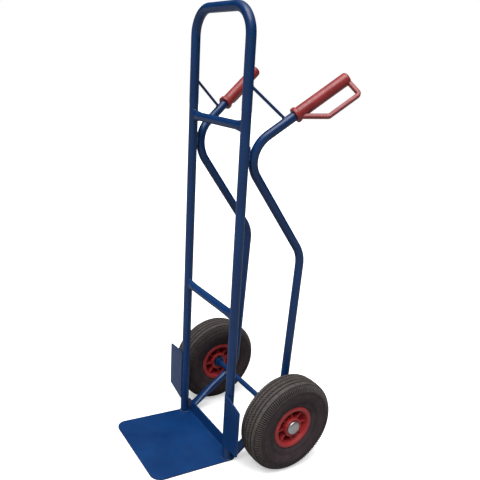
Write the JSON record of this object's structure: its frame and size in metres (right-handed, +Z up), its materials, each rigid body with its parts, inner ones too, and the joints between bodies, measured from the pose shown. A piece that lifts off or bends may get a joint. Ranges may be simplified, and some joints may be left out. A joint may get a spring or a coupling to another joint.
{
  "type": "hand truck",
  "caption": "Upright hand truck with bent steel tube frame, folded toe plate, rear handle tubes with guarded grips, and pneumatic wheels on a fixed axle.",
  "frame": {"origin": "middle of the footprint on the floor, with the toe plate flat and both wheels down", "axes": "+Z up, +X towards the right-hand wheel, +Y to the rear, from the toe plate to the wheels"},
  "size_m": [0.4658, 0.477, 1.152],
  "materials": {
    "blue_paint": "gloss",
    "red_grip": "satin",
    "red_rim": "satin",
    "tyre_rubber": "matte",
    "tube_rubber": "matte",
    "valve_rubber": "satin",
    "zinc_steel": "satin",
    "cap_chrome": "polished"
  },
  "bodies": {
    "truck": {"main_frame": "blue_paint", "upper_crossbar": "blue_paint", "middle_crossbar": "blue_paint", "toe_plate": "blue_paint", "axle": "blue_paint", "left_handle_tube": "blue_paint", "left_brace_rod": "blue_paint", "left_grip": "red_grip", "left_wheel_guard": "blue_paint", "left_axle_collar": "blue_paint", "left_axle_washer": "zinc_steel", "left_hub_cap": "cap_chrome", "right_handle_tube": "blue_paint", "right_brace_rod": "blue_paint", "right_grip": "red_grip", "right_wheel_guard": "blue_paint", "right_axle_collar": "blue_paint", "right_axle_washer": "zinc_steel", "right_hub_cap": "cap_chrome"},
    "left_wheel": {"left_tyre": "tyre_rubber", "left_inner_tube": "tube_rubber", "left_valve_stem": "valve_rubber", "left_rim": "red_rim", "left_hub_sleeve": "zinc_steel", "left_inner_bearing": "zinc_steel", "left_outer_bearing": "zinc_steel"},
    "right_wheel": {"right_tyre": "tyre_rubber", "right_inner_tube": "tube_rubber", "right_valve_stem": "valve_rubber", "right_rim": "red_rim", "right_hub_sleeve": "zinc_steel", "right_inner_bearing": "zinc_steel", "right_outer_bearing": "zinc_steel"}
  },
  "joints": [
    {"name": "left_wheel_spin", "type": "hinge", "parent": "truck", "child": "left_wheel", "pos_m": [-0.1905, 0.1085, 0.13], "axis": [1, 0, 0], "continuous": true},
    {"name": "right_wheel_spin", "type": "hinge", "parent": "truck", "child": "right_wheel", "pos_m": [0.1905, 0.1085, 0.13], "axis": [1, 0, 0], "continuous": true}
  ]
}
